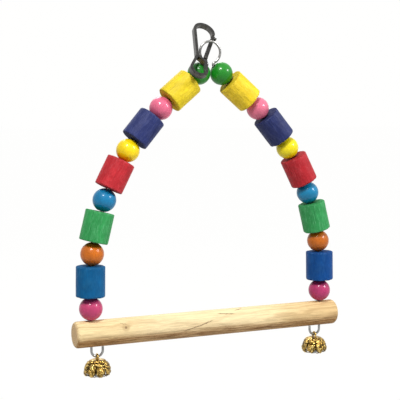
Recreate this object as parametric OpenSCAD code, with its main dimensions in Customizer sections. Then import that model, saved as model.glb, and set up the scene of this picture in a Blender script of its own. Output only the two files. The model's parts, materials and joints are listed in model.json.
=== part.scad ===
// Bird swing: an arch of wooden beads and blocks threaded on one steel wire.
// The wire's feet pass through a wooden perch and hold a small claw bell each.
// A sprung snap hook hangs the whole from a bar; the origin is the middle of its seat.

/* [Perch] */
// Diameter of the perch
perch_d = 18; // [14:0.5:24]
// Rounding of the perch's ends
perch_edge = 2.4; // [0.6:0.2:4]
// Perch length outside each foot of the wire
perch_overhang = 12; // [8:1:30]
// Extra width of the perch's wire holes
hole_clear = 0.3; // [0.1:0.1:1]

/* [Beads and blocks] */
// Diameter of a round bead
bead_d = 16; // [13:0.5:18]
// Diameter of a block
block_d = 20; // [14:0.5:23]
// Length of a block
block_l = 21; // [17:0.5:24]
// Rounding of a block's edges
block_edge = 0.7; // [0.2:0.1:2]
// Diameter of the hole along each bead and block
bore_d = 3.6; // [3.2:0.1:5]
// Width of the chamfer at each hole's mouth
bore_lip = 0.3; // [0.1:0.1:0.6]
// Play between neighbours on the wire
piece_gap = 0.12; // [0.05:0.01:0.4]

/* [Wire arch] */
// Diameter of the steel wire
wire_d = 1.7; // [1.4:0.1:2]
// Straight rise of the wire above the perch
foot_straight = 24; // [10:1:40]
// Bend radius of the arch's sides
arc_r = 163; // [150:1:190]
// Angle through which each side bends
arc_angle = 49.7; // [44:0.1:53]
// Free space between the two top beads
apex_gap = 1; // [0.4:0.1:4]

/* [Hanging ring of the wire] */
// Centre-line radius of the ring
ring_r = 7.6; // [7:0.1:9]
// Centre-line radius of the tight bends into the top beads
shoulder_r = 1.7; // [1.4:0.1:2.2]
// Free space between the ring and the top beads
ring_clear = 0.45; // [0.3:0.05:1]

/* [Feet of the wire] */
// Centre-line radius of the bend that holds a bell
foot_r = 4; // [3.4:0.1:5.5]
// Straight wire between the perch and that bend
foot_drop = 3; // [1.5:0.1:5]
// Gap between the wire's cut end and the perch
foot_end_gap = 0.5; // [0.2:0.1:1.5]

/* [Bells] */
// Diameter of a bell
bell_d = 18.6; // [15:0.2:22]
// Height of a bell above its widest line
bell_upper = 7.4; // [6:0.2:9]
// Height of a bell below its widest line
bell_lower = 4.6; // [4:0.2:6]
// Thickness of a bell's sheet brass
bell_wall = 0.6; // [0.4:0.1:0.9]
// Radius of the flat crown of a bell
crown_r = 3.4; // [3.2:0.1:4.4]
// Radius of the mouth under a bell
mouth_r = 2.6; // [2.2:0.1:2.9]
// Number of claw petals around a bell
petals = 8; // [6:1:10]
// Width of the slit between two petals near the crown
slit_top_w = 0.8; // [0.5:0.1:1.2]
// Width of the slit between two petals near the mouth
slit_low_w = 1.3; // [0.8:0.1:1.6]
// Height left whole under the crown
slit_start = 3.2; // [2.6:0.2:4.5]
// Diameter of the wire loop on a bell's crown
shank_d = 1.2; // [0.8:0.1:1.5]
// Play between that loop and the arch wire, each side
shank_play = 0.5; // [0.3:0.1:0.8]
// Distance from the arch wire's centre down to the crown
crown_drop = 2; // [1.8:0.1:3]
// Diameter of the loose steel ball
ball_d = 6.4; // [6:0.1:7]

/* [Snap hook] */
// Inner radius of the hook's top bend
seat_r = 6; // [5.4:0.1:6.6]
// Thickness of the strip that the hook is bent from
strip_t = 2; // [1.6:0.1:2.4]
// Width of that strip
strip_w = 3.6; // [3.4:0.1:4]
// Length of the straight spine
spine_l = 26; // [24:0.5:28]
// Centre-line radius of the small lower eye
eye_r = 5.5; // [5:0.1:6.5]
// Distance from the spine's end to the eye's centre
eye_drop = 13; // [12:0.5:15]
// Sideways shift of the eye from the spine
eye_shift = 0.4; // [0:0.1:1]
// Distance of the gate's pin below the spine's end
hinge_drop = 1; // [0:0.1:2]
// Straight end of the nose
nose_l = 2.2; // [1:0.1:3]
// Thickness of the gate's sheet steel
sheet_t = 0.5; // [0.4:0.05:0.6]
// Inside depth of the gate's channel on the spine's side of its axis
gate_in = 1.2; // [0.9:0.1:1.4]
// Inside depth of the gate's channel on the outer side of its axis
gate_out = 0.8; // [0.7:0.1:1]
// Radius of the gate's rounded ears
ear_r = 1.5; // [1.4:0.1:1.8]
// Diameter of the gate's pin
pin_d = 1.6; // [1.2:0.1:1.8]
// Diameter of the pin's heads
pin_head_d = 2.6; // [2.2:0.1:3]
// Height of the pin's heads
pin_head_h = 0.4; // [0.3:0.1:0.6]
// Width of the nose's neck
neck_w = 1.6; // [1.2:0.1:1.8]
// Thickness of the nose's neck
neck_t = 1; // [0.8:0.1:1.2]
// Diameter of the cross bar at the nose's end
nub_d = 1.3; // [1.1:0.1:1.6]
// Diameter of the gate spring's wire
spring_wire_d = 0.3; // [0.2:0.05:0.35]

/* [How the hook lies on the ring] */
// Sideways place of the hook's seat from the arch's middle
hook_x = -0.3; // [-0.6:0.1:0.4]
// Distance of the hook's seat behind the arch
hook_y = 11; // [10.8:0.1:11.6]
// Height of the hook's seat above the ring's centre
hook_rise = 14.3; // [14:0.1:14.8]
// Turn of the hook about the vertical
hook_turn = 7; // [6:1:9]
// Backward lean of the hook
hook_lean = 40; // [39:1:42]
// Roll of the hook in its own plane
hook_roll = 16; // [14:1:18]

/* [Hidden] */
$fn = 64;
wire_fn = 24;
arc_fn = 720;
cut = 0.5;
running_clear = 0.05;
side_clear = 0.2;
stop_clear = 0.15;
end_clear = 0.6;
rest_clear = 0.1;
collar_t = 0.015;
collar_reach = 0.12;

// The arch is laid out in the plane Y = 0, with Z = 0 at the perch's top line.
// Pieces count from the top bead down to the bead on the perch.
piece_count = 11;
bead_r = bead_d / 2;
pitch = bead_r + block_l / 2 + piece_gap;
first_s = bead_r + piece_gap;
top_s = first_s + (piece_count - 1) * pitch;
arc_l = arc_r * arc_angle * PI / 180;
run_l = top_s - foot_straight - arc_l;
apex_x = bead_r + apex_gap / 2;
foot_x = apex_x + arc_r * (1 - cos(arc_angle)) + run_l * sin(arc_angle);
arc_top = [foot_x - arc_r * (1 - cos(arc_angle)), foot_straight + arc_r * sin(arc_angle)];
perch_l = 2 * (foot_x + perch_overhang);

// Place [x, z] and heading of the wire at a distance s up from the perch.
function on_wire(s) =
    s <= foot_straight ? [foot_x, s, 90] :
    s <= foot_straight + arc_l ? on_arc((s - foot_straight) / arc_r * 180 / PI) :
    on_run(s - foot_straight - arc_l);
function on_arc(t) = [foot_x - arc_r * (1 - cos(t)), foot_straight + arc_r * sin(t), 90 + t];
function on_run(u) = [arc_top[0] - u * sin(arc_angle), arc_top[1] + u * cos(arc_angle), 90 + arc_angle];

// The ring sits just clear of the two top beads.
top_bead = on_wire(top_s);
ring_reach = bead_r + wire_d / 2 + ring_clear + ring_r;
ring_z = top_bead[1] + sqrt(ring_reach * ring_reach - apex_x * apex_x);
// The tight bend touches the top bead's axis and the ring, on the right side.
run_dir = [-sin(arc_angle), cos(arc_angle)];
run_side = [cos(arc_angle), sin(arc_angle)];
base = [top_bead[0], top_bead[1] - ring_z] + shoulder_r * run_side;
base_along = base * run_dir;
shoulder_reach = ring_r + shoulder_r;
shoulder_s = -base_along - sqrt(base_along * base_along - base * base + shoulder_reach * shoulder_reach);
shoulder_c = [base[0] + shoulder_s * run_dir[0], ring_z + base[1] + shoulder_s * run_dir[1]];
shoulder_a = atan2(ring_z - shoulder_c[1], -shoulder_c[0]);

// Feet and bells
foot_bend = [foot_x - foot_r, -perch_d - foot_drop];
bell_pivot = [foot_bend[0], foot_bend[1] - foot_r];
shank_r = wire_d / 2 + shank_play + shank_d / 2;
shank_z = wire_d / 2 + rest_clear - shank_r + shank_d / 2;
bell_r = bell_d / 2;
bell_h = bell_upper + bell_lower;
ball_r = ball_d / 2;
ball_z = -bell_h + bell_wall + sqrt(ball_r * ball_r - mouth_r * mouth_r) + rest_clear;
profile_steps = 9;

// Hook, in its own plane: X across, Z up, seat at the origin
hook_z = ring_z + hook_rise;
bend_r = seat_r + strip_t / 2;
waist = [-bend_r, -spine_l];
eye_c = [-bend_r + eye_shift, -spine_l - eye_drop];
waist_reach = norm(waist - eye_c);
eye_start = atan2(waist[1] - eye_c[1], waist[0] - eye_c[0]) + acos(eye_r / waist_reach);
hinge = [eye_c[0] + eye_r, -spine_l - hinge_drop];
tongue_l = ear_r + side_clear + strip_t / 2;
leg_top = [hinge[0], hinge[1] - tongue_l];
branch_end = leg_top - [0, strip_t / 2 + side_clear];
nose_end = [bend_r, -nose_l];
gate_a = atan2(nose_end[0] - hinge[0], nose_end[1] - hinge[1]);
gate_l = norm(nose_end - hinge) - end_clear - gate_in * sin(gate_a);
gate_w = strip_w;
channel_w = gate_w - 2 * sheet_t;
slot_w = neck_w + 2 * side_clear;
nub_s = gate_l - nub_d;
nub_t = gate_out + sheet_t + nub_d / 2 + stop_clear;
slot_l = nub_d + neck_t / 2 + side_clear;
ear_hole_d = pin_d + 2 * running_clear;
tongue_w = channel_w / 2 - 2 * side_clear;
tongue_y = channel_w / 2 - side_clear - tongue_w / 2;
pin_l = gate_w + 2 * running_clear;
coil_turns = 3;
coil_steps = 8;
coil_end_a = 20;
coil_r = pin_d / 2 + side_clear + spring_wire_d / 2;
coil_pitch = spring_wire_d * 1.1;
coil_y = -channel_w / 2 + side_clear / 2 + spring_wire_d / 2;
spring_leg = 1.6 * pin_d;

// Moves the arch's own layout so that the hook's seat is the origin.
module from_seat() {
    translate([-hook_x, -hook_y, -hook_z])
        children();
}

// Lays the hook's own layout at its angles.
module hook_pose() {
    rotate([0, 0, hook_turn])
        rotate([-hook_lean, 0, 0])
            rotate([0, hook_roll, 0])
                children();
}

// A bent round rod in the plane Y = 0, from angle a0 to a1.
module bend(centre, r, a0, a1, d, fn = 64) {
    translate([centre[0], 0, centre[1]])
        rotate([90, 0, 0])
            rotate([0, 0, a0])
                rotate_extrude(angle = a1 - a0, $fn = fn)
                    translate([r, 0])
                        circle(d = d, $fn = wire_fn);
}

// A straight round rod in the plane Y = 0.
module rod(from, to, d) {
    run = to - from;
    translate([from[0], 0, from[1]])
        rotate([0, atan2(run[0], run[1]), 0])
            cylinder(h = norm(run), d = d, $fn = wire_fn);
}

// A piece's own axis on the wire: i counts from the top, side is 1 on the right.
module on_strand(i, side) {
    p = on_wire(first_s + (piece_count - 1 - i) * pitch);
    from_seat()
        translate([side * p[0], 0, p[1]])
            rotate([0, side * (90 - p[2]), 0])
                children();
}

module bore(length) {
    cylinder(h = length + cut, d = bore_d, center = true);
}

// Cone that breaks the edge of a bore whose mouth lies at height z.
module lip(z) {
    for (turn = [0, 180])
        rotate([turn, 0, 0])
            translate([0, 0, z - bore_lip])
                cylinder(h = 2 * bore_lip, r1 = bore_d / 2, r2 = bore_d / 2 + 2 * bore_lip);
}

module bead(i, side) {
    on_strand(i, side)
        difference() {
            sphere(d = bead_d, $fn = 96);
            bore(bead_d);
            lip(sqrt(bead_r * bead_r - bore_d * bore_d / 4));
        }
}

// Half outline of a turned piece with rounded rims.
module rim_outline(r, length, edge) {
    square([r - edge, length]);
    translate([0, edge])
        square([r, length - 2 * edge]);
    for (y = [edge, length - edge])
        translate([r - edge, y])
            circle(r = edge, $fn = 32);
}

module block(i, side) {
    on_strand(i, side)
        difference() {
            translate([0, 0, -block_l / 2])
                rotate_extrude($fn = 96)
                    rim_outline(block_d / 2, block_l, block_edge);
            bore(block_l);
            lip(block_l / 2);
        }
}

module perch() {
    color([0.85, 0.68, 0.47])
        from_seat()
            difference() {
                translate([-perch_l / 2, 0, -perch_d / 2])
                    rotate([0, 90, 0])
                        rotate_extrude($fn = 96)
                            rim_outline(perch_d / 2, perch_l, perch_edge);
                for (side = [-1, 1])
                    translate([side * foot_x, 0, -perch_d - cut])
                        cylinder(h = perch_d + 2 * cut, d = wire_d + hole_clear, $fn = 32);
            }
}

// A hair-thin collar over the place where two runs of the wire meet, so that they fuse.
module collar(at, heading) {
    translate([at[0], 0, at[1]])
        rotate([0, 90 - heading, 0])
            cylinder(h = 2 * collar_reach, d = wire_d + 2 * collar_t, center = true, $fn = wire_fn);
}

// Meeting places of the runs on one side, each with the wire's heading there.
side_joints = [
    [[foot_bend[0] - foot_r, foot_bend[1]], 90],
    [[foot_x, foot_bend[1]], 90],
    [[foot_x, foot_straight], 90],
    [arc_top, 90 + arc_angle]
];
ring_joint = [-ring_r * cos(shoulder_a), ring_z - ring_r * sin(shoulder_a)];

// One side of the wire, from the cut end under the perch up into the top bead's bore.
module wire_side() {
    for (joint = side_joints)
        collar(joint[0], joint[1]);
    rod([foot_bend[0] - foot_r, -perch_d - foot_end_gap], [foot_bend[0] - foot_r, foot_bend[1]], wire_d);
    bend(foot_bend, foot_r, -180, 0, wire_d);
    rod([foot_x, foot_bend[1]], [foot_x, foot_straight], wire_d);
    bend([foot_x - arc_r, foot_straight], arc_r, 0, arc_angle, wire_d, arc_fn);
    rod(arc_top, [top_bead[0], top_bead[1]] + shoulder_s * run_dir, wire_d);
}

module side_wire(side) {
    color([0.72, 0.73, 0.75])
        from_seat()
            mirror([side < 0 ? 1 : 0, 0, 0])
                wire_side();
}

// The one wire's middle: its hanging ring and the tight bends down into the top beads.
module wire_ring() {
    color([0.72, 0.73, 0.75])
        from_seat() {
            for (turn = [0, 1])
                mirror([turn, 0, 0]) {
                    bend(shoulder_c, shoulder_r, shoulder_a, 180 + arc_angle, wire_d);
                    collar(ring_joint, shoulder_a - 90);
                }
            bend([0, ring_z], ring_r, shoulder_a - 180, 360 - shoulder_a, wire_d, 128);
        }
}

// Bell parts hang under the middle of the foot's bend.
module at_bell(side) {
    from_seat()
        translate([side * bell_pivot[0], 0, bell_pivot[1]])
            children();
}

// Outline of the bell's skin at an inset, from the crown down to the mouth.
function bell_side(inset) = concat(
    [for (i = [0 : profile_steps])
        let (t = 90 * i / profile_steps)
        [crown_r + (bell_r - inset - crown_r) * sin(t), -inset - (bell_upper - inset) * (1 - cos(t))]],
    [for (i = [1 : profile_steps])
        let (t = 90 * i / profile_steps)
        [mouth_r + (bell_r - inset - mouth_r) * cos(t), -bell_upper - (bell_lower - inset) * sin(t)]]
);

function reversed(list) = [for (i = [len(list) - 1 : -1 : 0]) list[i]];

module bell_skin() {
    rotate_extrude($fn = 96)
        polygon(concat([[0, 0]], bell_side(0), reversed(bell_side(bell_wall)), [[0, -bell_wall]]));
}

// One slit: narrow under the crown, wider towards the mouth, round at its top.
module slit() {
    rotate([90, 0, 90])
        linear_extrude(height = bell_r + cut) {
            translate([0, -slit_start - slit_top_w])
                circle(r = slit_top_w, $fn = 24);
            polygon([
                [-slit_top_w / 2, -slit_start - slit_top_w],
                [slit_top_w / 2, -slit_start - slit_top_w],
                [slit_low_w / 2, -bell_h - cut],
                [-slit_low_w / 2, -bell_h - cut]
            ]);
        }
}

module bell_shell(side) {
    color([0.83, 0.67, 0.33])
        at_bell(side)
            translate([0, 0, -crown_drop])
                difference() {
                    bell_skin();
                    for (i = [0 : petals - 1])
                        rotate([0, 0, (i + 1 / 2) * 360 / petals])
                            slit();
                }
}

module bell_shank(side) {
    color([0.8, 0.64, 0.32])
        at_bell(side)
            rotate([0, 0, 90]) {
                bend([0, shank_z], shank_r, 0, 180, shank_d);
                for (x = [-shank_r, shank_r])
                    rod([x, -crown_drop], [x, shank_z], shank_d);
            }
}

module bell_ball(side) {
    color([0.6, 0.6, 0.62])
        at_bell(side)
            translate([0, 0, ball_z - crown_drop])
                sphere(d = ball_d, $fn = 48);
}

// A flat plate of the hook's plane with a width across it.
module plate(w, y = 0) {
    translate([0, y, 0])
        rotate([90, 0, 0])
            linear_extrude(height = w, center = true)
                children();
}

// A straight bar with round ends in the hook's plane.
module bar2d(from, to, t) {
    run = to - from;
    translate(from)
        rotate(atan2(run[1], run[0]))
            translate([0, -t / 2])
                square([norm(run), t]);
    for (p = [from, to])
        translate(p)
            circle(d = t, $fn = 32);
}

// Part of a flat ring, from angle a0 to a1.
module arc2d(r, t, a0, a1) {
    reach = 2 * (r + t);
    middle = (a0 + a1) / 2;
    half = (a1 - a0) / 2;
    intersection() {
        difference() {
            circle(r = r + t / 2, $fn = 96);
            circle(r = r - t / 2, $fn = 96);
        }
        polygon(concat(
            [[0, 0]],
            [for (i = [-4 : 4]) reach * [cos(middle + half * i / 4), sin(middle + half * i / 4)]]
        ));
    }
}

// The gate's own directions: Y runs from its pin to its tip, X points outward.
module at_gate() {
    translate(hinge)
        rotate(-gate_a)
            children();
}

module hook_body() {
    color([0.2, 0.2, 0.21])
        hook_pose()
            difference() {
                union() {
                    plate(strip_w) {
                        arc2d(bend_r, strip_t, 0, 180);
                        bar2d([-bend_r, 0], waist, strip_t);
                        bar2d(waist, eye_c + eye_r * [cos(eye_start), sin(eye_start)], strip_t);
                        translate(eye_c)
                            arc2d(eye_r, strip_t, eye_start, 360);
                        bar2d([leg_top[0], eye_c[1]], leg_top, strip_t);
                        bar2d(waist, branch_end, strip_t);
                        bar2d([bend_r, 0], nose_end + [0, strip_t / 2], strip_t);
                    }
                    plate(tongue_w, tongue_y)
                        bar2d(leg_top, hinge, 2 * (ear_r - side_clear));
                    plate(neck_w) {
                        bar2d(nose_end + [0, strip_t / 2], hinge + nub_s * [sin(gate_a), cos(gate_a)], neck_t);
                        at_gate()
                            bar2d([0, nub_s], [nub_t, nub_s], neck_t);
                    }
                    plate(strip_w)
                        at_gate()
                            translate([nub_t, nub_s])
                                circle(d = nub_d, $fn = 32);
                }
                plate(strip_w + cut)
                    translate(hinge)
                        circle(d = ear_hole_d, $fn = 32);
            }
}

module gate_ears() {
    for (y = [-1, 1])
        plate(sheet_t, y * (gate_w - sheet_t) / 2)
            at_gate()
                difference() {
                    union() {
                        circle(r = ear_r, $fn = 48);
                        translate([-gate_in, 0])
                            square([gate_in + gate_out + sheet_t, gate_l]);
                    }
                    circle(d = ear_hole_d, $fn = 32);
                }
}

module gate_web() {
    difference() {
        plate(gate_w)
            at_gate()
                translate([gate_out, ear_r + side_clear])
                    square([sheet_t, gate_l - ear_r - side_clear]);
        plate(slot_w)
            at_gate()
                translate([0, gate_l - slot_l])
                    square([2 * (gate_out + sheet_t), slot_l + cut]);
    }
}

module hook_gate() {
    color([0.26, 0.26, 0.27])
        hook_pose()
            union() {
                gate_ears();
                gate_web();
            }
}

module gate_pin() {
    color([0.4, 0.4, 0.41])
        hook_pose() {
            plate(pin_l)
                translate(hinge)
                    circle(d = pin_d, $fn = 32);
            for (y = [-1, 1])
                plate(pin_head_h, y * (pin_l + pin_head_h) / 2)
                    translate(hinge)
                        circle(d = pin_head_d, $fn = 32);
        }
}

// Centre points of the spring: a leg, the turns about the pin, a leg in the channel.
function coil_point(a, k) = [coil_r * cos(a), coil_y + coil_pitch * k, coil_r * sin(a)];
coil_last = coil_point(coil_end_a, coil_turns);
coil_points = concat(
    [[coil_r, coil_y, -spring_leg / 2]],
    [for (i = [0 : coil_turns * coil_steps - 1])
        coil_point(360 * i / coil_steps, i / coil_steps)],
    [coil_last, coil_last + spring_leg * [-sin(coil_end_a), 0, cos(coil_end_a)]]
);

function unit(v) = v / norm(v);
function heading(points, i) = unit(points[min(i + 1, len(points) - 1)] - points[max(i - 1, 0)]);

// A round wire swept along points that never run along Y.
module swept(points, d, sides = 6) {
    rings = [for (i = [0 : len(points) - 1])
        let (
            t = heading(points, i),
            u = unit(cross([0, 1, 0], t)),
            v = cross(t, u)
        )
        [for (k = [0 : sides - 1]) points[i] + d / 2 * (u * cos(360 * k / sides) + v * sin(360 * k / sides))]
    ];
    count = len(points);
    polyhedron(
        points = [for (ring = rings) for (p = ring) p],
        faces = concat(
            [[for (k = [sides - 1 : -1 : 0]) k]],
            [for (i = [0 : count - 2]) for (k = [0 : sides - 1])
                [i * sides + k, i * sides + (k + 1) % sides, (i + 1) * sides + (k + 1) % sides]],
            [for (i = [0 : count - 2]) for (k = [0 : sides - 1])
                [i * sides + k, (i + 1) * sides + (k + 1) % sides, (i + 1) * sides + k]],
            [[for (k = [0 : sides - 1]) (count - 1) * sides + k]]
        )
    );
}

module gate_spring() {
    color([0.6, 0.6, 0.6])
        hook_pose()
            translate([hinge[0], 0, hinge[1]])
                swept(coil_points, spring_wire_d);
}

module left_green_bead() { color([0.14, 0.5, 0.2]) bead(0, -1); }
module left_yellow_block() { color([0.9, 0.8, 0.2]) block(1, -1); }
module left_pink_bead() { color([0.82, 0.42, 0.52]) bead(2, -1); }
module left_navy_block() { color([0.2, 0.23, 0.42]) block(3, -1); }
module left_yellow_bead() { color([0.93, 0.83, 0.15]) bead(4, -1); }
module left_red_block() { color([0.74, 0.22, 0.25]) block(5, -1); }
module left_blue_bead() { color([0.1, 0.43, 0.6]) bead(6, -1); }
module left_green_block() { color([0.26, 0.62, 0.36]) block(7, -1); }
module left_orange_bead() { color([0.85, 0.45, 0.12]) bead(8, -1); }
module left_blue_block() { color([0.06, 0.34, 0.54]) block(9, -1); }
module left_magenta_bead() { color([0.73, 0.28, 0.42]) bead(10, -1); }
module right_green_bead() { color([0.14, 0.5, 0.2]) bead(0, 1); }
module right_yellow_block() { color([0.9, 0.8, 0.2]) block(1, 1); }
module right_pink_bead() { color([0.82, 0.42, 0.52]) bead(2, 1); }
module right_navy_block() { color([0.2, 0.23, 0.42]) block(3, 1); }
module right_yellow_bead() { color([0.93, 0.83, 0.15]) bead(4, 1); }
module right_red_block() { color([0.74, 0.22, 0.25]) block(5, 1); }
module right_blue_bead() { color([0.1, 0.43, 0.6]) bead(6, 1); }
module right_green_block() { color([0.26, 0.62, 0.36]) block(7, 1); }
module right_orange_bead() { color([0.85, 0.45, 0.12]) bead(8, 1); }
module right_blue_block() { color([0.06, 0.34, 0.54]) block(9, 1); }
module right_magenta_bead() { color([0.73, 0.28, 0.42]) bead(10, 1); }

hook_body();
hook_gate();
gate_pin();
gate_spring();
wire_ring();
side_wire(-1);  // left_wire
side_wire(1);  // right_wire
perch();
left_green_bead();
left_yellow_block();
left_pink_bead();
left_navy_block();
left_yellow_bead();
left_red_block();
left_blue_bead();
left_green_block();
left_orange_bead();
left_blue_block();
left_magenta_bead();
right_green_bead();
right_yellow_block();
right_pink_bead();
right_navy_block();
right_yellow_bead();
right_red_block();
right_blue_bead();
right_green_block();
right_orange_bead();
right_blue_block();
right_magenta_bead();
bell_shell(-1);  // left_bell_shell
bell_shank(-1);  // left_bell_shank
bell_ball(-1);  // left_bell_ball
bell_shell(1);  // right_bell_shell
bell_shank(1);  // right_bell_shank
bell_ball(1);  // right_bell_ball
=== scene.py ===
import json
import math
import random

import bmesh
import bpy
from mathutils import Matrix, Vector, noise


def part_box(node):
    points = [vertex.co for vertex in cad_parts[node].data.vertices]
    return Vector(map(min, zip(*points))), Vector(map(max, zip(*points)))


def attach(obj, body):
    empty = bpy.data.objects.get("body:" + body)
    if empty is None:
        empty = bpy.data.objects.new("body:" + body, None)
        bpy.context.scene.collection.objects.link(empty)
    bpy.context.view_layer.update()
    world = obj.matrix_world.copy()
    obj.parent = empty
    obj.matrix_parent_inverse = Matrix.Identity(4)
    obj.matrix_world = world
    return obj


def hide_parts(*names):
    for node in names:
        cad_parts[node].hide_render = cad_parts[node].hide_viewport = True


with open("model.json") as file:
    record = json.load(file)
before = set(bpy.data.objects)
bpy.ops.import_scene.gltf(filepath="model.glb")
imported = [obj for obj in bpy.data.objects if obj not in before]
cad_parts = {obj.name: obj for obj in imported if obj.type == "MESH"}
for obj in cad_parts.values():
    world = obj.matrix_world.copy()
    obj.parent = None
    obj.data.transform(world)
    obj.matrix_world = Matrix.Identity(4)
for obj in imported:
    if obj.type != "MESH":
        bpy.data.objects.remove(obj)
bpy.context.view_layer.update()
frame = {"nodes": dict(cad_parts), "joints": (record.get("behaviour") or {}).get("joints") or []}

MM = 0.001
WHITE = (1.0, 1.0, 1.0)
UP = (0, 0, 1)

# The part's own sizes that the looks follow, in millimetres. Its x runs to the right, y to the
# back and z up, from the middle of the perch's top. The frame's origin is the hook's seat.
SEAT = (-0.3, 11.0, 195.933)
BEAD_R = 8.0
BLOCK_R = 10.0
BLOCK_L = 21.0
BLOCK_EDGE = 0.7
PERCH_R = 9.0
PERCH_L = 200.273

# The direction across the hook's strip, and how far from its middle the painted shade on its edges
# begins
HOOK_AXIS = (0.0933573, -0.7603345, 0.6427876)
STRIP_SHADE = (1.2, 1.65)

# A bell is a dome from its crown out to its rim, then claws that turn in to its mouth. RIM_AT and
# CLAW_AT say how far along a petal the rim lies and its claw begins, and HUB_R is a ring in the crown.
BELL_X = 84.137
CROWN_Z = -27.0
CROWN_R = 3.4
RIM_R = 9.6
MOUTH_R = 2.6
HUB_R = 1.2
DOME_H = 8.6
CLAW_H = 3.4
SHEET = 0.45
PETALS = 8
PETAL_ROWS = 44
PETAL_COLS = 18
RIM_AT = 0.56
CLAW_AT = 0.52
PETAL_FILL = 0.95

# A block's bore, 0.02 wider than the part's, and how finely a block is turned
BORE_R = 1.82
BORE_LIP = 0.3
BLOCK_TURNS = 120
BLOCK_ROWS = 26

# Dyes, as sRGB, from the top of the arch down
COLOURS = {
    "green_bead": (0.10, 0.50, 0.12),
    "yellow_block": (0.93, 0.84, 0.16),
    "pink_bead": (0.86, 0.42, 0.54),
    "navy_block": (0.155, 0.195, 0.42),
    "yellow_bead": (0.95, 0.84, 0.03),
    "red_block": (0.78, 0.165, 0.205),
    "blue_bead": (0.02, 0.48, 0.66),
    "green_block": (0.20, 0.60, 0.32),
    "orange_bead": (0.78, 0.41, 0.04),
    "blue_block": (0.00, 0.35, 0.56),
    "magenta_bead": (0.77, 0.245, 0.44),
}

# Some pieces of the right side are darker: factors on red, green and blue
RIGHT_FACTORS = {
    "right_navy_block": (0.86, 0.86, 0.88),
    "right_red_block": (0.91, 0.88, 0.88),
    "right_orange_bead": (0.95, 0.95, 1.0),
    "right_blue_block": (0.5, 0.78, 0.94),
    "right_magenta_bead": (0.90, 0.76, 0.90),
}

# How far the wood's fibres show through the stain of each block
FIBRE = {"yellow": 0.5, "navy": 0.45, "red": 0.35, "green": 0.95, "blue": 0.25}

# The perch's knot, and its short dark marks: where they start and end, and their half width
KNOT = (-66.0, -8.3, -5.0)
MARKS = (
    ((-26.0, -8.7, -12.0), (0.0, -8.3, -5.2), 0.5),
    ((2.0, -5.4, -1.8), (17.0, -6.4, -2.8), 0.45),
    ((16.0, -4.1, -1.0), (24.0, -2.0, -0.3), 0.35),
    ((-70.0, -6.0, -2.2), (-65.0, -7.0, -3.3), 0.4),
)

# The camera, from a pinhole fitted to the photograph: degrees, pixels and the part's millimetres
YAW = -22.70
PITCH = 4.92
ROLL = 0.20
FOCAL_PX = 952.0
PHOTO_PX = 400.0
SENSOR = 36.0
EYE = (-264.6, -613.4, 136.1)

# The stage, in metres: where the lamps aim, what the backdrop and the world give, and the floor
AIM = (0.0, -0.011, -0.12)
BACKDROP = (1.0, 0.999, 0.992)
SKY = 0.25
FLOOR_RGB = (0.62, 0.62, 0.61)
FLOOR_GLOW = 1.02
FLOOR_SHARE = 0.97
FLOOR_HALF = 30.0
FLOOR_Z = -0.40


def row(x, y, z):
    """A point of the part's own millimetres, in the frame's metres."""
    return Vector((x - SEAT[0], y - SEAT[1], z - SEAT[2])) * MM


def linear(rgb):
    return tuple(c / 12.92 if c <= 0.04045 else ((c + 0.055) / 1.055) ** 2.4 for c in rgb)


def shade(rgb, k):
    return tuple(min(1.0, c * k) for c in rgb)


def ease(x, lo, hi):
    """0 below lo, 1 above hi, and smooth between them."""
    t = max(0.0, min(1.0, (x - lo) / (hi - lo)))
    return t * t * (3 - 2 * t)


def polar(a, r, z):
    return Vector((math.cos(a) * r, math.sin(a) * r, z))


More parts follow.
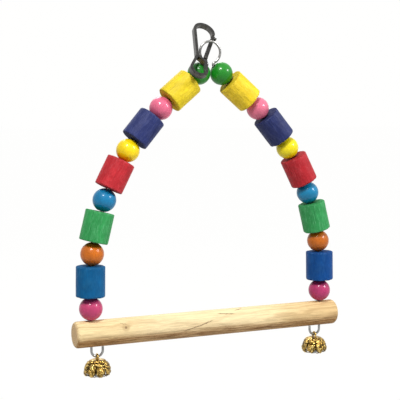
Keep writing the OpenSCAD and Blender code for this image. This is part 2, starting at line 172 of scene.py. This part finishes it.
class Look:
    """A material being built; each call adds one node or a few, and gives back their output."""

    def __init__(self, name):
        self.mat = bpy.data.materials.new(name)
        self.mat.use_nodes = True
        self.tree = self.mat.node_tree
        self.tree.nodes.clear()
        output = self.tree.nodes.new("ShaderNodeOutputMaterial")
        self.bsdf = self.tree.nodes.new("ShaderNodeBsdfPrincipled")
        self.tree.links.new(self.bsdf.outputs[0], output.inputs[0])

    def put(self, socket, value):
        if isinstance(value, bpy.types.NodeSocket):
            self.tree.links.new(value, socket)
        elif socket.type == "RGBA" and len(value) == 3:
            socket.default_value = (*value, 1.0)
        else:
            socket.default_value = value

    def node(self, kind, out=0, props=None, **inputs):
        """Inputs go by name, with _ for a space, or by number as i0, i1 and so on."""
        n = self.tree.nodes.new(kind)
        for k, v in (props or {}).items():
            setattr(n, k, v)
        for k, v in inputs.items():
            key = int(k[1:]) if k[0] == "i" and k[1:].isdigit() else k.replace("_", " ")
            self.put(n.inputs[key], v)
        return n.outputs[out]

    def local(self, centre, axis):
        """Coordinates in mm about a piece's centre, with Z along its axis."""
        turn = Vector(UP).rotation_difference(Vector(axis)).to_euler()
        where = self.node("ShaderNodeTexCoord", out="Object")
        return self.node("ShaderNodeMapping", props={"vector_type": "TEXTURE"}, Vector=where,
                         Location=tuple(centre), Rotation=tuple(turn), Scale=(MM, MM, MM))

    def scaled(self, vector, scale):
        return self.node("ShaderNodeMapping", Vector=vector, Scale=scale)

    def grain(self, vector, across, along):
        return self.scaled(vector, (across, across, along))

    def noise(self, vector, scale, detail=4.0, rough=0.5, seed=0.0, lean=0.0):
        return self.node("ShaderNodeTexNoise", props={"noise_dimensions": "4D"}, Vector=vector,
                         W=seed, Scale=scale, Detail=detail, Roughness=rough, Distortion=lean)

    def math(self, op, a, b=0.0, c=0.0):
        return self.node("ShaderNodeMath", props={"operation": op}, i0=a, i1=b, i2=c)

    def size(self, value):
        return self.math("ABSOLUTE", value)

    def times(self, a, b):
        return self.math("MULTIPLY", a, b)

    def line(self, value, slope, start):
        return self.math("MULTIPLY_ADD", value, slope, start)

    def wave(self, value):
        """A sine between 0 and 1."""
        return self.line(self.math("SINE", value), 0.5, 0.5)

    def length(self, *parts):
        total = self.times(parts[0], parts[0])
        for part in parts[1:]:
            total = self.math("ADD", total, self.times(part, part))
        return self.math("SQRT", total)

    def dot(self, vector, direction):
        return self.node("ShaderNodeVectorMath", out="Value",
                         props={"operation": "DOT_PRODUCT"}, i0=vector, i1=tuple(direction))

    def split(self, vector):
        n = self.tree.nodes.new("ShaderNodeSeparateXYZ")
        self.tree.links.new(vector, n.inputs[0])
        return n.outputs[0], n.outputs[1], n.outputs[2]

    def between(self, value, lo, hi, a=0.0, b=1.0):
        """From a to b, smoothly, as the value goes from lo to hi."""
        return self.node("ShaderNodeMapRange", props={"interpolation_type": "SMOOTHSTEP"},
                         i0=value, i1=lo, i2=hi, i3=a, i4=b)

    def ramp(self, fac, stops):
        n = self.tree.nodes.new("ShaderNodeValToRGB")
        self.tree.links.new(fac, n.inputs[0])
        elements = n.color_ramp.elements
        while len(elements) < len(stops):
            elements.new(0.5)
        for element, (at, rgb) in zip(elements, stops):
            element.position = at
            element.color = (*rgb, 1.0)
        return n.outputs[0]

    def mix(self, fac, a, b, how="MIX"):
        """Inputs 6 and 7, and output 2, are the colours of this node."""
        return self.node("ShaderNodeMix", out=2, props={"data_type": "RGBA", "blend_type": how},
                         i0=fac, i6=a, i7=b)

    def bump(self, height, depth_mm, strength=1.0, under=None):
        more = {} if under is None else {"Normal": under}
        return self.node("ShaderNodeBump", Height=height, Strength=strength,
                         Distance=depth_mm * MM, **more)

    def mark(self, at, start, end, normal, width):
        """A thin wavering mark between two points of a surface, in mm, that thins out at its ends."""
        start, end = Vector(start), Vector(end)
        run = (end - start).normalized()
        half = (end - start).length / 2
        off = self.node("ShaderNodeVectorMath", props={"operation": "SUBTRACT"},
                        i0=at, i1=tuple((start + end) / 2))
        aside = self.dot(off, Vector(normal).cross(run).normalized())
        along = self.dot(off, run)
        facing = self.dot(off, normal)
        waver = self.line(self.noise(at, 0.35, detail=3.0, rough=0.6, seed=width), 2.4, -1.2)
        gap = self.size(self.math("ADD", aside, waver))
        thin = self.between(self.size(along), 0.6 * half, half, 1.0, 0.0)
        drawn = self.times(self.between(gap, 0.2 * width, width, 1.0, 0.0), thin)
        return self.times(drawn, self.between(facing, -6.0, -4.0))

    def set(self, **inputs):
        for k, v in inputs.items():
            self.put(self.bsdf.inputs[k.replace("_", " ")], v)
        return self.mat


def bead_look(name, rgb, centre, axis, seed):
    """Turned bead, dyed and lacquered: faint grain under a glossy coat."""
    m = Look(name)
    base = linear(rgb)
    at = m.local(centre, axis)
    z = m.split(at)[2]

    streak = m.noise(m.grain(at, 1.0, 0.16), 0.9, detail=7.0, rough=0.62, seed=seed, lean=0.4)
    cloud = m.noise(at, 0.16, detail=3.0, seed=seed + 3.1)
    pores = m.noise(m.grain(at, 3.2, 0.4), 1.3, detail=2.0, seed=seed + 7.7)
    wood = m.ramp(streak, [(0.3, shade(base, 0.80)), (0.5, base), (0.72, shade(base, 1.10))])
    wood = m.mix(m.between(cloud, 0.35, 0.7), wood, shade(base, 0.84))
    wood = m.mix(m.between(pores, 0.66, 0.74, 0.0, 0.35), wood, shade(base, 0.5))

    # Darker round the two ends of the bore
    ends = m.between(m.size(z), BEAD_R * 0.82, BEAD_R * 0.99, 0.0, 0.45)
    wood = m.mix(ends, wood, shade(base, 0.42))

    lacquer = m.noise(at, 0.6, detail=3.0, rough=0.55, seed=seed + 1.3)
    normal = m.bump(lacquer, 0.15, 0.7)
    normal = m.bump(streak, 0.03, 0.6, normal)
    rough = m.between(cloud, 0.3, 0.75, 0.36, 0.5)
    return m.set(Base_Color=wood, Roughness=rough, Normal=normal,
                 Coat_Weight=0.4, Coat_Roughness=0.09, Specular_IOR_Level=0.15)


def block_look(name, rgb, centre, axis, seed, fibre):
    """Stained dowel: streaks along the grain, raised fibres, worn rims, rings on the cut ends, painted
    shade inside the cut edges and a little painted sheen.
    """
    m = Look(name)
    base = linear(rgb)
    deep = shade(base, 0.5)
    bare = linear(tuple(min(1.0, 0.8 * c + 0.19) for c in rgb))
    end = BLOCK_L / 2
    at = m.local(centre, axis)
    x, y, z = m.split(at)
    height = m.size(z)

    streak = m.noise(m.grain(at, 1.0, 0.055), 0.85, detail=8.0, rough=0.66, seed=seed, lean=0.25)
    fine = m.noise(m.grain(at, 2.0, 0.13), 1.1, detail=6.0, rough=0.68, seed=seed + 2.0)
    cloud = m.noise(at, 0.13, rough=0.6, seed=seed + 5.0)
    wood = m.ramp(streak, [(0.28, shade(base, 0.66)), (0.45, shade(base, 0.92)),
                           (0.58, shade(base, 1.04)), (0.76, shade(base, 1.22))])
    wood = m.mix(m.between(cloud, 0.35, 0.62, 0.0, 0.75), wood, shade(base, 0.74))
    wood = m.mix(m.between(fine, 0.52, 0.64, 0.0, fibre), wood, bare)
    wood = m.mix(m.between(fine, 0.34, 0.42, fibre + 0.2, 0.0), wood, deep)

    # Growth rings on the two cut ends, about a pith that lies off the block's own axis
    off = m.math("ADD", x, 3.0 + 5.0 * math.sin(seed))
    rings = m.wave(m.times(m.line(cloud, 3.0, m.length(off, y)), 4.6))
    cut = m.mix(rings, shade(base, 0.6), shade(base, 0.86))
    is_end = m.between(height, end - 0.42, end - 0.22)
    wood = m.mix(is_end, wood, cut)

    # Rubbed rims, broken up by noise
    spots = m.noise(at, 0.5, detail=5.0, rough=0.7, seed=seed + 9.0)
    near = m.between(height, end - 1.9, end - 0.45)
    rim = m.between(m.length(x, y), BLOCK_R - 1.1, BLOCK_R - 0.25)
    wear = m.times(m.times(near, rim), m.between(spots, 0.5, 0.62))
    wood = m.mix(m.times(wear, 0.55), wood, bare)

    # Painted shade: dark just inside each cut edge, where the rounded rim turns from the light
    band = m.size(m.math("SUBTRACT", height, end - 0.5))
    rim_shade = m.times(m.between(band, 0.2, 0.9, 0.5, 0.0), m.between(spots, 0.35, 0.6, 1.0, 0.3))
    wood = m.mix(rim_shade, wood, deep)

    # Pale specks, and pale where the surface is worked, which is partly painted sheen
    specks = m.noise(m.grain(at, 1.0, 0.6), 2.6, detail=2.0, seed=seed + 12.0)
    wood = m.mix(m.between(specks, 0.70, 0.75, 0.0, 0.7), wood, bare)
    worked_and_sheen = m.noise(m.grain(at, 1.0, 0.5), 0.28, detail=3.0, seed=seed + 15.0)
    wood = m.mix(m.between(worked_and_sheen, 0.50, 0.62, 0.0, 0.12), wood, bare)

    saw = m.noise(m.scaled(at, (0.35, 3.2, 0.1)), 1.0, detail=3.0, seed=seed + 4.0)
    normal = m.bump(worked_and_sheen, 1.1, 0.8)
    normal = m.bump(streak, 0.12, 0.8, normal)
    normal = m.bump(fine, 0.05, 0.7, normal)
    normal = m.bump(m.times(saw, is_end), 0.08, 0.5, normal)
    rough = m.line(is_end, 0.3, m.between(streak, 0.3, 0.7, 0.60, 0.44))
    return m.set(Base_Color=wood, Roughness=rough, Normal=normal, Specular_IOR_Level=0.18)


def perch_look():
    """Bare sanded dowel: long grain, streaks gathered low, a knot, dark marks, rings on the ends,
    painted shade low and towards the right end, painted light in the middle.
    """
    m = Look("perch_wood")
    base = linear((0.93, 0.835, 0.635))
    pale = linear((0.95, 0.88, 0.72))
    dark = linear((0.66, 0.515, 0.315))
    shade_tan = linear((0.71, 0.50, 0.26))
    golden = linear((0.50, 0.32, 0.12))
    brown = linear((0.40, 0.265, 0.13))
    end = PERCH_L / 2
    at = m.local(row(0, 0, -PERCH_R), (1, 0, 0))
    x, y, z = m.split(at)

    # Long grain that bends round the knot
    knot_far = m.length(*m.split(m.local(row(*KNOT), (0, -1, 0))))
    push = m.between(knot_far, 0.5, 6.0, 1.0, 0.0)
    warp = m.noise(m.grain(at, 0.05, 0.014), 1.0, detail=3.0, seed=2.2)
    streak = m.noise(m.grain(at, 0.9, 0.03), 1.0, detail=9.0, rough=0.72, seed=1.7, lean=0.5)
    bend = m.line(warp, 34.0, m.times(push, 2.4))
    lines = m.wave(m.math("ADD", m.times(y, 2.1), bend))
    wood = m.ramp(streak, [(0.3, dark), (0.45, base), (0.6, shade(base, 1.04)), (0.78, pale)])
    wood = m.mix(m.between(lines, 0.5, 1.0, 0.0, 0.32), wood, dark)
    fur = m.noise(m.grain(at, 3.4, 0.16), 1.0, detail=5.0, rough=0.66, seed=8.1)
    wood = m.mix(m.between(fur, 0.58, 0.72, 0.0, 0.5), wood, shade(dark, 0.8))
    wood = m.mix(m.between(fur, 0.42, 0.30, 0.0, 0.4), wood, pale)

    # Painted shade in tan along the lower side, which is turned from the light, with bare and dark grit
    # in it
    low = m.between(x, -1.0, 5.5)
    wood = m.mix(m.times(low, m.between(warp, 0.3, 0.7, 0.5, 0.95)), wood, shade_tan)
    grit = m.noise(m.grain(at, 1.2, 0.06), 1.0, detail=8.0, rough=0.8, seed=6.0, lean=0.4)
    wood = m.mix(m.times(low, m.between(grit, 0.44, 0.36, 0.0, 0.5)), wood, pale)
    patch = m.noise(m.grain(at, 0.09, 0.015), 1.0, detail=3.0, seed=4.4)
    gather = m.times(m.between(patch, 0.28, 0.50), m.line(low, 0.8, 0.2))
    gritty = m.times(gather, m.between(grit, 0.48, 0.57, 0.0, 0.95))

    # Painted light makes the middle palest, and painted shade gives a darker tan towards the right end,
    # where the side lamp falls
    middle_light = m.between(m.size(m.math("ADD", z, 5.0)), 30.0, 75.0, 0.45, 0.0)
    wood = m.mix(m.times(middle_light, m.line(low, -0.55, 1.0)), wood, pale)
    wood = m.mix(m.between(z, 35.0, 95.0), wood, (0.83, 0.75, 0.67), "MULTIPLY")
    wood = m.mix(gritty, wood, brown)

    # Coarse golden-brown streaks, thickest along the lower side
    coarse = m.noise(m.grain(at, 0.42, 0.024), 1.0, rough=0.6, seed=12.5, lean=0.6)
    veins = m.between(m.size(m.math("SUBTRACT", coarse, 0.5)), 0.015, 0.070, 1.0, 0.0)
    wood = m.mix(m.times(veins, m.line(low, 0.50, 0.12)), wood, golden)

    # Short dark marks
    here = m.local(row(0, 0, 0), UP)
    for first, last, width in MARKS:
        facing = Vector((0, first[1] + last[1], first[2] + last[2] + 2 * PERCH_R)).normalized()
        mark = m.mark(here, first, last, facing, width)
        wood = m.mix(m.times(mark, 0.8), wood, shade(brown, 0.7))

    # The knot and its halo
    wood = m.mix(m.between(knot_far, 0.5, 1.5, 0.7, 0.0), wood, brown)
    halo = m.times(m.between(knot_far, 0.8, 1.8), m.between(knot_far, 1.8, 3.6, 0.35, 0.0))
    wood = m.mix(halo, wood, shade(dark, 0.85))

    # Growth rings on the cut ends
    radius = m.length(m.math("ADD", x, 2.4), y)
    rings = m.wave(m.line(warp, 9.0, m.times(radius, 5.2)))
    cut = m.mix(rings, linear((0.79, 0.64, 0.45)), linear((0.88, 0.77, 0.60)))
    wood = m.mix(m.between(m.size(z), end - 0.9, end - 0.2), wood, cut)

    normal = m.bump(streak, 0.45, 0.9)
    normal = m.bump(fur, 0.1, 0.8, normal)
    normal = m.bump(gritty, 0.16, -0.8, normal)
    return m.set(Base_Color=wood, Roughness=0.68, Normal=normal, Specular_IOR_Level=0.25)


def wire_look():
    """Drawn steel wire, slightly hazy, with fine nicks."""
    m = Look("steel_wire")
    at = m.local(row(0, 0, 0), UP)
    haze = m.noise(at, 0.35, detail=5.0, rough=0.6, seed=1.0)
    nicks = m.noise(m.grain(at, 3.0, 0.8), 1.5, rough=0.6, seed=4.0)
    steel = m.ramp(haze, [(0.35, linear((0.46, 0.46, 0.46))), (0.62, linear((0.66, 0.655, 0.64)))])
    rough = m.between(haze, 0.35, 0.7, 0.16, 0.34)
    return m.set(Base_Color=steel, Metallic=1.0, Roughness=rough, Normal=m.bump(nicks, 0.02, 0.5))


def nickel_look(name, seed, value):
    """Black nickel plate: dark and glossy, rubbed grey here and there with painted sheen in it, and
    painted shade on the strip's edges.
    """
    m = Look(name)
    at = m.local(row(0, 0, 0), UP)
    haze = m.noise(at, 0.4, detail=5.0, rough=0.6, seed=seed)
    scuff_and_sheen = m.noise(m.grain(at, 0.7, 2.4), 1.2, detail=6.0, rough=0.7, seed=seed + 3.0)
    dark = linear((value, value * 0.985, value * 0.96))
    plate = m.ramp(haze, [(0.34, shade(dark, 0.55)), (0.62, shade(dark, 1.45))])
    # Rubbed grey scuffs, which also serve as painted sheen down the middle of the strip
    plate = m.mix(m.between(scuff_and_sheen, 0.56, 0.72, 0.0, 0.6), plate, linear((0.60, 0.60, 0.59)))
    # Painted shade: the strip darkens towards its rounded edges, which turn from the light
    across = m.split(m.local(row(*SEAT), HOOK_AXIS))[2]
    edge_shade = m.between(m.size(across), *STRIP_SHADE, 0.0, 0.55)
    plate = m.mix(edge_shade, plate, shade(dark, 0.3))
    rough = m.between(haze, 0.3, 0.7, 0.2, 0.4)
    return m.set(Base_Color=plate, Metallic=1.0, Roughness=rough, Normal=m.bump(scuff_and_sheen, 0.03, 0.5))


def brass_look(name, seed, centre):
    """Pressed brass with tarnished patches: painted highlights on the raised crinkles, painted shade in
    the recesses.
    """
    m = Look(name)
    at = m.local(centre, UP)
    crinkle_and_sheen = m.noise(at, 0.75, rough=0.6, seed=seed, lean=0.6)
    tarnish = m.noise(at, 0.35, detail=5.0, rough=0.65, seed=seed + 6.0)
    recess_shade = m.node("ShaderNodeAttribute", out="Fac", props={"attribute_name": "recess_shade"})
    # Brass tone that varies with the crinkles: a painted highlight where they rise and painted shade
    # where they sink
    brass = m.ramp(crinkle_and_sheen, [(0.34, linear((0.42, 0.31, 0.12))), (0.48, linear((0.69, 0.55, 0.26))),
                             (0.64, linear((0.91, 0.80, 0.50)))])
    # Painted shade: near black down in the folds, dents and curled petal edges
    brass = m.mix(m.between(recess_shade, 0.25, 0.80, 0.0, 0.92), brass, linear((0.16, 0.105, 0.03)))
    brass = m.mix(m.between(tarnish, 0.50, 0.66, 0.0, 0.7), brass, linear((0.30, 0.23, 0.10)))
    rough = m.between(tarnish, 0.35, 0.7, 0.2, 0.4)
    return m.set(Base_Color=brass, Metallic=1.0, Roughness=rough, Normal=m.bump(crinkle_and_sheen, 0.35, 0.6))


def dress(obj, mat):
    obj.data.materials.clear()
    obj.data.materials.append(mat)


def middle(node):
    lo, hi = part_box(node)
    return Vector([(a + b) / 2 for a, b in zip(lo, hi)])


def link(obj):
    bpy.context.scene.collection.objects.link(obj)
    return obj


def add(name, mesh, body, replaced):
    for face in mesh.polygons:
        face.use_smooth = True
    obj = link(bpy.data.objects.new(name, mesh))
    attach(obj, body)
    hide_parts(replaced)
    return obj


def block_outline():
    """A bored block's section as radius and height in mm, from the bore round to the bore again."""
    r, half, e = BLOCK_R, BLOCK_L / 2, BLOCK_EDGE
    faces = (3.2, 5.0, 6.8, 8.2)
    foot = [math.radians(a) for a in (0, 20, 42, 66, 90)]
    head = [math.radians(a) for a in (0, 24, 48, 70, 90)]
    points = [(BORE_R, -half + 0.5), (BORE_R, -half + BORE_LIP), (BORE_R + BORE_LIP, -half)]
    points += [(k, -half) for k in faces]
    points += [(r - e + e * math.sin(t), -half + e - e * math.cos(t)) for t in foot]
    points += [(r, -half + e + 2 * (half - e) * i / BLOCK_ROWS) for i in range(1, BLOCK_ROWS)]
    points += [(r - e + e * math.cos(t), half - e + e * math.sin(t)) for t in head]
    points += [(k, half) for k in reversed(faces)]
    points += [(BORE_R + BORE_LIP, half), (BORE_R, half - BORE_LIP), (BORE_R, half - 0.5)]
    return points


def worn(pr, pz, a, off, tilt, seed):
    """Where a point of the clean outline lies on the uneven block; it only ever moves inwards."""
    if pr <= BORE_R + BORE_LIP + 0.1:
        return pr, pz
    half = BLOCK_L / 2
    c, s = math.cos(a), math.sin(a)
    wave = noise.noise(Vector((c * pr, s * pr, pz * 0.35)) * 0.12 + off) * 0.5 + 0.5
    fine = noise.noise(Vector((c * pr, s * pr, pz * 0.09)) * 0.9 + off) * 0.5 + 0.5
    r = pr - (0.14 * wave + 0.09 * fine) * min(1.0, pr / BLOCK_R)

    # Chips along the rims
    near = max(0.0, 1.0 - (half - abs(pz)) / 1.4) * max(0.0, (pr - BLOCK_R + 1.5) / 1.5)
    chip = max(0.0, noise.noise(Vector((c * 10, s * 10, pz)) * 0.33 + off * 1.7) - 0.12)
    r -= 0.75 * chip * near

    # Ends cut a little out of square
    if abs(pz) <= half - BLOCK_EDGE - 0.01:
        return r, pz
    lean = tilt[0 if pz < 0 else 1] * (1 + math.cos(a - seed)) * pr / (2 * BLOCK_R)
    rough = 0.03 * noise.noise(Vector((c * pr * 1.4, s * pr * 0.4, pz)) + off)
    return r, pz - math.copysign(0.06 + lean + 0.55 * chip * near + rough, pz)


def block_mesh(name, centre, axis, seed):
    """A cut dowel: slightly out of round, with broken rims; it never leaves the solid's block."""
    turn = Vector(UP).rotation_difference(Vector(axis)).to_matrix()
    off = Vector((seed * 13.1, seed * 7.7, seed * 3.3))
    tilt = [(noise.noise(off + Vector((9.0 * k, 0, 0))) * 0.5 + 0.5) * 0.16 for k in (1, 2)]
    outline = block_outline()
    verts = []
    for pr, pz in outline:
        for i in range(BLOCK_TURNS):
            a = 2 * math.pi * i / BLOCK_TURNS
            r, z = worn(pr, pz, a, off, tilt, seed)
            verts.append(tuple(centre + turn @ (polar(a, r, z) * MM)))
    faces = []
    for j in range(len(outline)):
        this = j * BLOCK_TURNS
        after = (j + 1) % len(outline) * BLOCK_TURNS
        for i in range(BLOCK_TURNS):
            k = (i + 1) % BLOCK_TURNS
            faces.append((this + i, this + k, after + k, after + i))
    mesh = bpy.data.meshes.new(name)
    mesh.from_pydata(verts, [], faces)
    return mesh


def bell_outline(t):
    """Radius and height of a petal, in mm, as t runs from the crown (0) to the tip (1)."""
    if t < RIM_AT:
        a = math.pi / 2 * t / RIM_AT
        return CROWN_R + (RIM_R - CROWN_R) * math.sin(a), -DOME_H * (1 - math.cos(a))
    a = math.pi / 2 * (t - RIM_AT) / (1 - RIM_AT)
    r = MOUTH_R + (RIM_R - MOUTH_R) * math.cos(a) ** 0.75
    return r, -DOME_H - CLAW_H * math.sin(a) ** 0.85


def bell_outward(t):
    """The outline's outward direction at t, as radius and height."""
    r1, z1 = bell_outline(max(0.0, t - 0.02))
    r2, z2 = bell_outline(min(1.0, t + 0.02))
    size = math.hypot(z1 - z2, r2 - r1)
    return (z1 - z2) / size, (r2 - r1) / size


def petal_fill(t):
    """Share of its pitch that a petal fills: whole at the crown, then slit, and narrow at the tip."""
    if t < CLAW_AT:
        return 1 - (1 - PETAL_FILL) * ease(t, 0.30, 0.40)
    return PETAL_FILL * max(0.06, 1 - (t - CLAW_AT) / (1 - CLAW_AT))


def crumple(t, u, point, off):
    """How deep the sheet is pressed in, in mm: folds, dents, and edges that curl under."""
    p = point * 0.34 + off
    curl = 0.5 * abs(u) ** 3.0 * ease(t, 0.10, 0.30)
    fold = 1 - min(1.0, 3.2 * abs(noise.noise(p)))
    dent = 1 - min(1.0, 3.0 * abs(noise.noise(p * 1.9 + off)))
    return (curl + (0.62 * fold + 0.34 * dent) * ease(t, 0.02, 0.14)) * (1 - ease(t, 0.86, 1.0))


def bell_mesh(name, centre, seed):
    """Claw bell of one pressed sheet: eight petals joined at the crown, their tips turned in."""
    bm = bmesh.new()
    recess_shade = bm.verts.layers.float.new("recess_shade")
    off = Vector((seed * 5.3, seed * 2.9, seed * 8.1))
    pitch = math.pi / PETALS
    across = [2 * i / PETAL_COLS - 1 for i in range(PETAL_COLS + 1)]
    for k in range(PETALS):
        mid = 2 * math.pi * k / PETALS
        lean = 0.07 * noise.noise(off + Vector((k * 3.1, 0, 0)))
        spread = 0.35 * noise.noise(off + Vector((0, k * 4.7, 2.0)))
        grid = []
        for j in range(PETAL_ROWS + 1):
            t = j / PETAL_ROWS
            r, z = bell_outline(t)
            out_r, out_z = bell_outward(t)
            half = pitch * petal_fill(t)
            twist = lean * ease(t, 0.4, 0.9)
            wide = spread * ease(t, 0.45, 0.75)
            line = []
            for u in across:
                a = mid + u * half + twist
                depth = crumple(t, u, polar(a, r, z), off)
                place = polar(a, r + wide - depth * out_r, z - depth * out_z)
                vert = bm.verts.new(centre + place * MM)
                # The depth is kept for the painted shade in the brass
                vert[recess_shade] = depth
                line.append(vert)
            grid.append(line)
        for upper, lower in zip(grid, grid[1:]):
            for i in range(PETAL_COLS):
                bm.faces.new((upper[i], lower[i], lower[i + 1], upper[i + 1]))
        hub = [bm.verts.new(centre + polar(mid + u * pitch, HUB_R, 0.0) * MM) for u in across]
        top = bm.verts.new(centre)
        for i in range(PETAL_COLS):
            bm.faces.new((hub[i], grid[0][i], grid[0][i + 1], hub[i + 1]))
            bm.faces.new((top, hub[i], hub[i + 1]))
    bmesh.ops.remove_doubles(bm, verts=bm.verts, dist=2e-6)
    bm.normal_update()
    if max(bm.faces, key=lambda f: f.calc_center_median().z).normal.z < 0:
        bmesh.ops.reverse_faces(bm, faces=bm.faces)
    mesh = bpy.data.meshes.new(name)
    bm.to_mesh(mesh)
    bm.free()
    return mesh


def lamp(name, at, size, power, colour=WHITE):
    """A round soft light that faces the part: metres and watts."""
    data = bpy.data.lights.new(name, "AREA")
    data.shape = "DISK"
    data.size = size
    data.energy = power
    data.color = colour
    obj = link(bpy.data.objects.new(name, data))
    obj.location = at
    obj.rotation_euler = (Vector(AIM) - Vector(at)).to_track_quat("-Z", "Y").to_euler()


def backdrop_ray(tree):
    """1 for the rays that see the background itself: from the camera, or by way of metal or glass."""
    path = tree.nodes.new("ShaderNodeLightPath")
    fac = path.outputs["Is Camera Ray"]
    for name in ("Is Glossy Ray", "Is Transmission Ray"):
        n = tree.nodes.new("ShaderNodeMath")
        n.operation = "MAXIMUM"
        tree.links.new(fac, n.inputs[0])
        tree.links.new(path.outputs[name], n.inputs[1])
        fac = n.outputs[0]
    return fac


def shader(tree, kind, colour, strength=None):
    n = tree.nodes.new(kind)
    n.inputs[0].default_value = (*colour, 1.0)
    if strength is not None:
        n.inputs[1].default_value = strength
    return n.outputs[0]


def blend(tree, fac, unseen, seen, output):
    """Ends a tree: one shader where fac is 0, the other where it is 1."""
    n = tree.nodes.new("ShaderNodeMixShader")
    for socket, value in zip(n.inputs, (fac, unseen, seen)):
        tree.links.new(value, socket)
    tree.links.new(n.outputs[0], tree.nodes.new(output).inputs[0])


def studio_world():
    world = bpy.data.worlds.new("studio")
    bpy.context.scene.world = world
    world.use_nodes = True
    tree = world.node_tree
    tree.nodes.clear()
    soft = shader(tree, "ShaderNodeBackground", WHITE, SKY)
    seen = shader(tree, "ShaderNodeBackground", BACKDROP, 1.0)
    blend(tree, backdrop_ray(tree), soft, seen, "ShaderNodeOutputWorld")


def pale_floor():
    """A floor that looks like the backdrop and still takes a little shadow."""
    mat = bpy.data.materials.new("pale_floor")
    mat.use_nodes = True
    tree = mat.node_tree
    tree.nodes.clear()
    matt = shader(tree, "ShaderNodeBsdfDiffuse", FLOOR_RGB)
    glow = shader(tree, "ShaderNodeEmission", BACKDROP, FLOOR_GLOW)
    share = tree.nodes.new("ShaderNodeMath")
    share.operation = "MULTIPLY"
    share.inputs[1].default_value = FLOOR_SHARE
    tree.links.new(backdrop_ray(tree), share.inputs[0])
    blend(tree, share.outputs[0], matt, glow, "ShaderNodeOutputMaterial")

    mesh = bpy.data.meshes.new("floor")
    corners = [(-1, -1), (1, -1), (1, 1), (-1, 1)]
    mesh.from_pydata([(x * FLOOR_HALF, y * FLOOR_HALF, FLOOR_Z) for x, y in corners], [], [(0, 1, 2, 3)])
    mesh.materials.append(mat)
    return link(bpy.data.objects.new("floor", mesh))


def photo_camera():
    cam = bpy.data.cameras.new("camera")
    cam.sensor_width = SENSOR
    cam.lens = FOCAL_PX / PHOTO_PX * SENSOR
    cam.clip_end = 100.0
    obj = link(bpy.data.objects.new("camera", cam))
    yaw, pitch, roll = (math.radians(a) for a in (YAW, PITCH, ROLL))
    level = Vector((math.cos(yaw), math.sin(yaw), 0.0))
    back = Vector((math.sin(yaw) * math.cos(pitch), -math.cos(yaw) * math.cos(pitch), math.sin(pitch)))
    upright = back.cross(level)
    right = level * math.cos(roll) - upright * math.sin(roll)
    up = upright * math.cos(roll) + level * math.sin(roll)
    turn = Matrix((right, up, back)).transposed().to_4x4()
    obj.matrix_world = Matrix.Translation(row(*EYE)) @ turn
    bpy.context.scene.camera = obj


nodes = frame["nodes"]
joints = {joint["child"]: joint for joint in frame["joints"]}

# Beads and blocks
rng = random.Random(11)
for side in ("left", "right"):
    for piece, rgb in COLOURS.items():
        node = side + "_" + piece
        colour, kind = piece.split("_")
        axis = joints[node]["axis"]
        seed = rng.uniform(0, 40)
        right_factor = RIGHT_FACTORS.get(node, WHITE)
        tone = tuple(min(1.0, c * k * rng.uniform(0.97, 1.03)) for c, k in zip(rgb, right_factor))
        centre = middle(node)
        if kind == "bead":
            dress(nodes[node], bead_look(node + "_look", tone, centre, axis, seed))
        else:
            mesh = block_mesh(node + "_cut", centre, axis, seed)
            block = add(node + "_cut", mesh, node, node)
            dress(block, block_look(node + "_look", tone, centre, axis, seed, FIBRE[colour]))

# Perch, wire and hook
dress(nodes["perch"], perch_look())
steel = wire_look()
for part in [n for n in nodes if "wire" in n]:
    dress(nodes[part], steel)
dress(nodes["hook_body"], nickel_look("hook_plate", 2.0, 0.34))
dress(nodes["hook_gate"], nickel_look("gate_plate", 5.0, 0.31))
dress(nodes["gate_pin"], nickel_look("pin_plate", 8.0, 0.40))
dress(nodes["gate_spring"], steel)

# Bells
for side, sign in (("left", -1), ("right", 1)):
    bell = side + "_bell"
    centre = row(sign * BELL_X, 0, CROWN_Z)
    brass = brass_look(side + "_brass", 3.0 + sign, centre)
    mesh = bell_mesh(bell + "_petals", centre, 2.0 + sign)
    petals = add(bell + "_petals", mesh, bell, bell + "_shell")
    sheet = petals.modifiers.new("sheet", "SOLIDIFY")
    sheet.thickness = SHEET * MM
    sheet.offset = -1.0
    dress(petals, brass)
    dress(nodes[bell + "_shank"], brass)
    dress(nodes[bell + "_ball"], steel)

# Stage
lamp("key", (-0.45, -0.65, 0.85), size=0.34, power=13.5, colour=(1.0, 0.99, 0.975))
lamp("side", (0.72, -0.62, 0.42), size=0.34, power=8.0, colour=(0.985, 0.99, 1.0))
lamp("back", (0.2, 1.2, 0.9), size=0.8, power=8.0)
studio_world()
floor = pale_floor()
photo_camera()
bpy.context.scene.view_settings.view_transform = "Standard"
